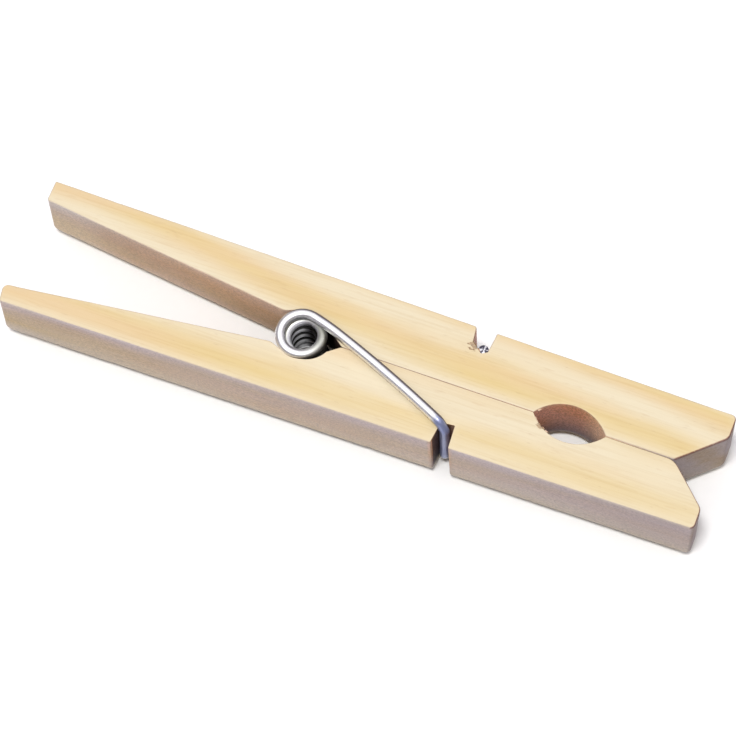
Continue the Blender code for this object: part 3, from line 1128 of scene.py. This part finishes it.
class Wire(Nodes):
    """The spring's wire: the places and marks that its layers share, and the layers."""

    def __init__(self, name, length, coil_length):
        super().__init__(name)
        self.place = self.add("Attribute", attribute_name="wire_place").outputs["Vector"]
        along = self.maths("SUBTRACT", self.split(self.place)["X"], length / 2)
        self.from_middle = self.maths("ABSOLUTE", along)
        self.bloom = self.noise(self.place, (420, 900, 900), 4.0, 0.6)
        coords = self.add("TexCoord").outputs
        self.facing = self.split(coords["Normal"])
        across = self.stretch(coords["Object"], (1, 1, 0), (-HINGE.x, -HINGE.y, 0))
        self.from_axis = self.add("VectorMath", {0: across}, operation="LENGTH").outputs["Value"]
        level = self.maths("SUBTRACT", self.split(coords["Object"])["Z"], HINGE.z)
        # Painted shade in the coil's bore, on its side towards the jaws; the other side is only made less
        # metallic.
        deep = self.ranged(self.maths("ABSOLUTE", level), *BORE_FROM_MIDDLE)
        bore = self.product(self.ranged(self.from_axis, *BORE_FROM_AXIS), deep)
        dark = self.ranged(self.split(across)["X"], *DARK_BORE_TO_JAWS)
        self.shaded_bore = self.product(bore, dark)
        self.lit_bore = self.product(bore, self.maths("SUBTRACT", 1.0, dark))
        # Where the bars' painted shade lies.
        self.bar = self.near_end(length, BAR_SHADE_FROM_END)
        self.tip = self.near_end(length, SHEARED_FROM_END)
        self.deep_turns = self.near_end(coil_length, DEEP_TURNS_FROM_COIL_END)
        inner_turns = self.near_end(coil_length, INNER_TURNS_FROM_COIL_END)
        # The inner turns' inward side: duller, and darker with painted shade.
        self.dulled_and_shaded = self.product(inner_turns, self.ranged(self.from_axis, *DULL_AND_SHADE_FROM_AXIS))
        # The wire's rear flank, painted dark with shade and reflection.
        rear_side = self.ranged(self.facing["Y"], 0.24, 0.46)
        self.shaded_flank = self.product(rear_side, self.ranged(self.from_axis, *FLANK_FROM_AXIS))

    def near_end(self, span, distances):
        """From 0 to 1 between two distances from the ends of a span about the wire's middle."""
        start, complete = distances
        return self.ranged(self.from_middle, span / 2 - start, span / 2 - complete)

    def plated(self):
        """Bright zinc with a grey bloom, painted dark blue shade and reflection on the bars, and painted
        dark and bright reflections on the sheared ends.
        """
        colour = self.mix(self.ranged(self.bloom, 0.35, 0.7), BRIGHT_ZINC, GREY_ZINC)
        bar_shade = self.mix(self.ranged(self.bloom, 0.3, 0.7), BAR_SHADE_DARK, BAR_SHADE_PALE)
        colour = self.mix(self.bar, colour, bar_shade)
        # Painted reflections: dark and bright patches on the sheared ends.
        tip_glints = self.ranged(self.noise(self.place, (2000, 2300, 2300), 2.0, 0.6), 0.46, 0.54)
        return self.mix(self.tip, colour, self.mix(tip_glints, TIP_PAINTED_DARK, TIP_PAINTED_GLINT))

    def painted_shade(self, colour):
        """Painted shade: a dark bore, darker inner turns with black seams between them, and a dark rear
        flank.
        """
        colour = self.tinted(self.shaded_bore, colour, BORE_SHADE)
        colour = self.tinted(self.dulled_and_shaded, colour, INNER_TURN_SHADE)
        flat = self.ranged(self.maths("ABSOLUTE", self.facing["Z"]), 0.45, 0.72)
        # Painted shade between the turns.
        seam_shade = self.product(flat, self.deep_turns, self.ranged(self.from_axis, *SEAM_FROM_AXIS))
        return self.mix(self.shaded_flank, self.mix(seam_shade, colour, SEAM_SHADE), FLANK_SHADE)


def wire_material(name, length, coil_length):
    """Drawn, zinc-plated wire, less metallic on its painted dark flank and bars and on the lit side of its
    bore.
    """
    wire = Wire(name, length, coil_length)
    wire.into("Base Color", wire.painted_shade(wire.plated()))
    less_metal = wire.maths("MAXIMUM", wire.shaded_flank, wire.product(wire.lit_bore, 0.6))
    less_metal = wire.maths("MAXIMUM", less_metal, wire.product(wire.bar, 0.55))
    wire.into("Metallic", wire.maths("SUBTRACT", 1.0, less_metal))
    lines = wire.noise(wire.place, (25, 9000, 9000), 3.0, 0.6)
    rough = wire.maths("MULTIPLY_ADD", lines, 0.06, wire.ranged(wire.bloom, 0.3, 0.75, 0.27, 0.40))
    wire.into("Roughness", wire.maths("MULTIPLY_ADD", wire.dulled_and_shaded, 0.12, rough))
    wire.bump(lines, 0.2, 0.00001)
    return wire.material


def floor_material():
    """Plain pale paper."""
    paper = Nodes("paper")
    grain = paper.noise(paper.add("TexCoord").outputs["Object"], (900,) * 3)
    paper.into("Base Color", paper.mix(grain, (0.79, 0.79, 0.795, 1), (0.82, 0.82, 0.825, 1)))
    paper.shader.inputs["Roughness"].default_value = 0.9
    return paper.material


# ---------------- stage

FLOOR_HALF_SIZE = 1.5
ROOM_COLOUR = (1.0, 0.94, 1.0, 1)
ROOM_STRENGTH = 0.20

# Each light's name, place, width, power and colour.
LIGHTS = (
    ("key", (-0.010, -0.130, 0.755), 0.13, 4.3, (1.0, 1.0, 0.97)),
    ("softbox", (0.0, 0.05, 0.75), 1.9, 9.0, (1.0, 0.97, 1.0)),
)

CAMERA_TARGET = Vector((0.00033, 0.00019, 0.0055))
CAMERA_DISTANCE = 0.3024
CAMERA_AZIMUTH = math.radians(27.96)
CAMERA_ELEVATION = math.radians(66.89)
CAMERA_ROLL = math.radians(-7.33)
CAMERA_LENS = 131.24
CAMERA_NEAREST = 0.01
CAMERA_FARTHEST = 10.0


def make_floor():
    """A plain pale floor, level with the underside of the bottom arm."""
    shape = bmesh.new()
    bmesh.ops.create_grid(shape, x_segments=4, y_segments=4, size=FLOOR_HALF_SIZE)
    floor = add_object("floor", finished_mesh("floor", shape, floor_material()))
    floor.location.z = HINGE.z - arm_height() - WIRE_RADIUS


def aim(item, target, roll=0.0):
    """Turn a light or camera towards the target, with a roll about its own axis."""
    way = (item.location - Vector(target)).normalized()
    turn = way.to_track_quat("Z", "Y") @ Quaternion((0, 0, 1), roll)
    item.rotation_mode = "QUATERNION"
    item.rotation_quaternion = turn


def make_light(name, place, width, power, colour):
    """A soft square studio light aimed at the object."""
    light = bpy.data.lights.new(name, "AREA")
    light.size = width
    light.energy = power
    light.color = colour
    lamp = add_object(name, light)
    lamp.location = place
    aim(lamp, (0, 0, 0))


def make_world():
    """A dim, slightly pink room."""
    world = bpy.data.worlds.new("room")
    world.use_nodes = True
    background = world.node_tree.nodes["Background"]
    background.inputs["Color"].default_value = ROOM_COLOUR
    background.inputs["Strength"].default_value = ROOM_STRENGTH
    bpy.context.scene.world = world


def make_camera():
    """A long lens from above and a little to the right, rolled so that the object runs downhill."""
    camera = bpy.data.cameras.new("camera")
    camera.lens = CAMERA_LENS
    camera.clip_start = CAMERA_NEAREST
    camera.clip_end = CAMERA_FARTHEST
    item = add_object("camera", camera)
    level = math.cos(CAMERA_ELEVATION)
    back = Vector((
        math.sin(CAMERA_AZIMUTH) * level,
        -math.cos(CAMERA_AZIMUTH) * level,
        math.sin(CAMERA_ELEVATION),
    ))
    item.location = CAMERA_TARGET + back * CAMERA_DISTANCE
    aim(item, CAMERA_TARGET, CAMERA_ROLL)
    bpy.context.scene.camera = item


def main():
    """Set the stage and make the three pieces."""
    make_camera()
    make_world()
    make_floor()
    for name, place, width, power, colour in LIGHTS:
        make_light(name, place, width, power, colour)
    front = wood_material("front_strip_wood", FRONT_WOOD)
    rear = wood_material("rear_strip_wood", REAR_WOOD)
    make_lever("front_lever", FRONT_LEVER, front)
    make_lever("rear_lever", REAR_LEVER, rear)
    make_spring()
    bpy.context.scene.view_settings.view_transform = "Standard"


main()
